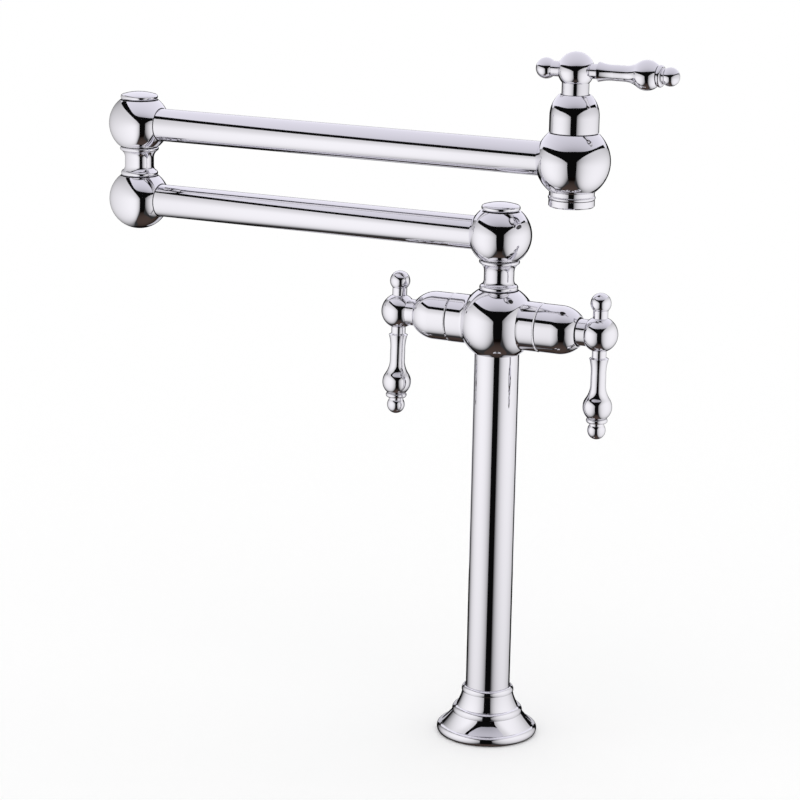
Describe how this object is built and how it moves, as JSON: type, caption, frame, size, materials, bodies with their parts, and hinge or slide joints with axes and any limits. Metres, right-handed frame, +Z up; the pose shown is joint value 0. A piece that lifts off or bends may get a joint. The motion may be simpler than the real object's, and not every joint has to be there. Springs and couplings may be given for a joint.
{
  "type": "deck-mounted pot filler",
  "caption": "Deck-mounted pot filler: a tall riser with hot and cold lever valves, a double-jointed swivel arm and a shut-off lever valve at the spout.",
  "frame": {"origin": "on the riser's axis at the deck face", "axes": "+Z up along the riser, +X towards the cold handle, -Y to the front"},
  "size_m": [0.4115, 0.0672, 0.539],
  "materials": {
    "polished_chrome": "mirror-polished chrome plate on brass",
    "raw_brass": "machined brass",
    "copper_tube": "drawn copper tube, its mass taken as brass",
    "steel": "stainless steel",
    "black_rubber": "moulded rubber",
    "white_ceramic": "lapped alumina",
    "acetal": "moulded acetal"
  },
  "bodies": {
    "base": {"base_flange": "polished_chrome", "deck_gasket": "black_rubber", "mounting_shank": "raw_brass", "riser_tube": "polished_chrome", "hot_supply_tube": "copper_tube", "cold_supply_tube": "copper_tube", "valve_body": "polished_chrome", "hot_bonnet": "polished_chrome", "cold_bonnet": "polished_chrome", "hot_cartridge": "raw_brass", "cold_cartridge": "raw_brass", "valve_seat_seals": "black_rubber", "valve_fixed_discs": "white_ceramic", "shoulder_neck": "polished_chrome", "shoulder_orings": "black_rubber", "shoulder_thrust_washer": "acetal", "shoulder_retaining_screw": "steel"},
    "deck_clamp": {"lock_nut": "raw_brass", "clamp_washer": "steel", "rubber_washer": "black_rubber"},
    "lower_arm": {"shoulder_ball": "polished_chrome", "shoulder_cap": "polished_chrome", "lower_arm_tube": "polished_chrome", "elbow_lower_ball": "polished_chrome", "elbow_neck": "polished_chrome", "elbow_orings": "black_rubber", "elbow_thrust_washer": "acetal", "elbow_retaining_screw": "steel"},
    "upper_arm": {"elbow_upper_ball": "polished_chrome", "elbow_cap": "polished_chrome", "upper_arm_tube": "polished_chrome", "spout_body": "polished_chrome", "spout_bonnet": "polished_chrome", "spout_cartridge": "raw_brass", "spout_seat_seal": "black_rubber", "spout_fixed_disc": "white_ceramic", "outlet_nipple": "polished_chrome", "aerator_housing": "polished_chrome", "aerator_insert": "acetal", "aerator_washer": "black_rubber"},
    "hot_handle": {"hot_hub": "polished_chrome", "hot_lever": "polished_chrome", "hot_finial": "polished_chrome", "hot_set_screw": "steel", "hot_stem": "raw_brass", "hot_moving_disc": "white_ceramic"},
    "cold_handle": {"cold_hub": "polished_chrome", "cold_lever": "polished_chrome", "cold_finial": "polished_chrome", "cold_set_screw": "steel", "cold_stem": "raw_brass", "cold_moving_disc": "white_ceramic"},
    "spout_handle": {"spout_hub": "polished_chrome", "spout_lever": "polished_chrome", "spout_finial": "polished_chrome", "spout_set_screw": "steel", "spout_stem": "raw_brass", "spout_moving_disc": "white_ceramic"}
  },
  "joints": [
    {"name": "lower_arm_swing", "type": "hinge", "parent": "base", "child": "lower_arm", "pos_m": [0, 0, 0.3392], "axis": [0, 0, 1], "continuous": true},
    {"name": "upper_arm_swing", "type": "hinge", "parent": "lower_arm", "child": "upper_arm", "pos_m": [-0.2725, 0, 0.3913], "axis": [0, 0, 1], "continuous": true},
    {"name": "hot_handle_turn", "type": "hinge", "parent": "base", "child": "hot_handle", "pos_m": [-0.0717, 0, 0.2815], "axis": [-1, 0, 0], "range_deg": [0, 90]},
    {"name": "cold_handle_turn", "type": "hinge", "parent": "base", "child": "cold_handle", "pos_m": [0.0717, 0, 0.2815], "axis": [-1, 0, 0], "range_deg": [0, 90]},
    {"name": "spout_handle_turn", "type": "hinge", "parent": "upper_arm", "child": "spout_handle", "pos_m": [0.049, 0, 0.451], "axis": [0, 0, -1], "range_deg": [0, 90]},
    {"name": "lock_nut_travel", "type": "slide", "parent": "base", "child": "deck_clamp", "axis": [0, 0, 1], "range_m": [-0.06, 0.01]}
  ]
}
